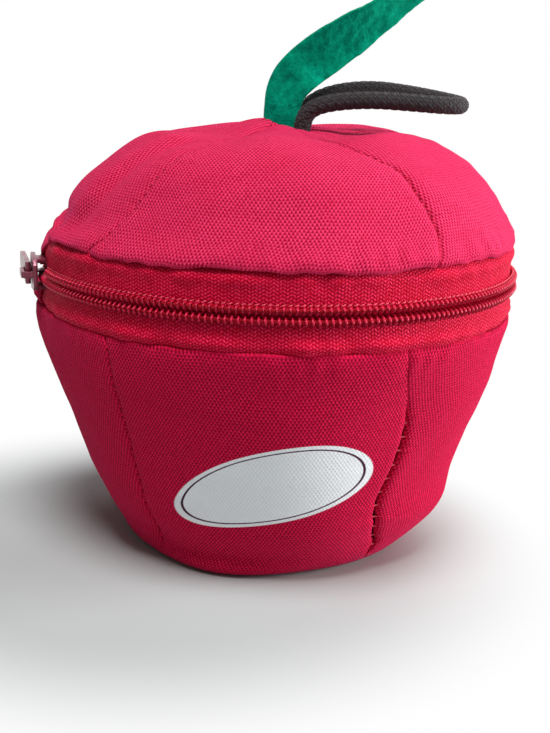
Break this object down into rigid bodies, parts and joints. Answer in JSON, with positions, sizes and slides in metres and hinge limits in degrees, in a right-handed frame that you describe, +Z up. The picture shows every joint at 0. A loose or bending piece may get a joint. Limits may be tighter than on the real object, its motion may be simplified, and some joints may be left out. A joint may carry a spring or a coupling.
{
  "type": "word game pouch",
  "caption": "Apple-shaped zipped canvas pouch with a felt leaf and a cord stem loop, a lid half on a cloth hinge, a zip slider with a pull tab, and letter tiles inside.",
  "frame": {"origin": "middle of the flat base", "axes": "+Z up, -Y out of the printed front panel, +X to the right as seen from the front"},
  "size_m": [0.1239, 0.118, 0.1407],
  "materials": {
    "canvas": "plain-weave cotton canvas, matt",
    "zip_tape": "woven polyester zip tape",
    "zip_coil": "sewn nylon coil",
    "zip_metal": "lacquered, satin",
    "felt": "pressed felt",
    "cord": "braided cord",
    "tile": "moulded, satin",
    "paper": "uncoated, folded"
  },
  "bodies": {
    "cup": {"cup_panel_front": "canvas", "cup_panel_left": "canvas", "cup_panel_rear_left": "canvas", "cup_panel_rear_right": "canvas", "cup_panel_right": "canvas", "hinge_tab_lower": "canvas", "letter_tiles_a": "tile", "letter_tiles_b": "tile", "letter_tiles_c": "tile", "letter_tiles_d": "tile", "letter_tiles_e": "tile", "letter_tiles_f": "tile", "letter_tiles_g": "tile", "letter_tiles_h": "tile", "letter_tiles_i": "tile", "letter_tiles_j": "tile", "letter_tiles_k": "tile", "letter_tiles_l": "tile", "letter_tiles_m": "tile", "letter_tiles_n": "tile", "letter_tiles_o": "tile", "letter_tiles_p": "tile", "letter_tiles_q": "tile", "letter_tiles_r": "tile", "letter_tiles_s": "tile", "letter_tiles_t": "tile", "letter_tiles_u": "tile", "letter_tiles_v": "tile", "letter_tiles_w": "tile", "letter_tiles_x": "tile", "letter_tiles_y": "tile", "letter_tiles_z": "tile", "rules_leaflet": "paper", "zip_coil_lower": "zip_coil", "zip_stop_lower": "zip_metal", "zip_tape_lower": "zip_tape"},
    "lid": {"crown_gather": "canvas", "hinge_tab_upper": "canvas", "leaf": "felt", "lid_panel_front": "canvas", "lid_panel_left": "canvas", "lid_panel_rear_left": "canvas", "lid_panel_rear_right": "canvas", "lid_panel_right": "canvas", "stem_loop": "cord", "zip_coil_upper": "zip_coil", "zip_stop_upper": "zip_metal", "zip_tape_upper": "zip_tape"},
    "slider": {"zip_slider": "zip_metal"},
    "tab": {"pull_tab": "zip_metal"}
  },
  "joints": [
    {"name": "lid_hinge", "type": "hinge", "parent": "cup", "child": "lid", "pos_m": [-0.0478, 0.03104, 0.067], "axis": [-0.5446, -0.8387, 0], "range_deg": [0, 115]},
    {"name": "slider_travel", "type": "hinge", "parent": "cup", "child": "slider", "pos_m": [0, 0, 0.067], "axis": [0, 0, 1], "range_deg": [0, 264]},
    {"name": "pull_tab_swing", "type": "hinge", "parent": "slider", "child": "tab", "pos_m": [-0.05916, -0.01585, 0.067], "axis": [0, 0, 1], "range_deg": [0, 170]}
  ]
}
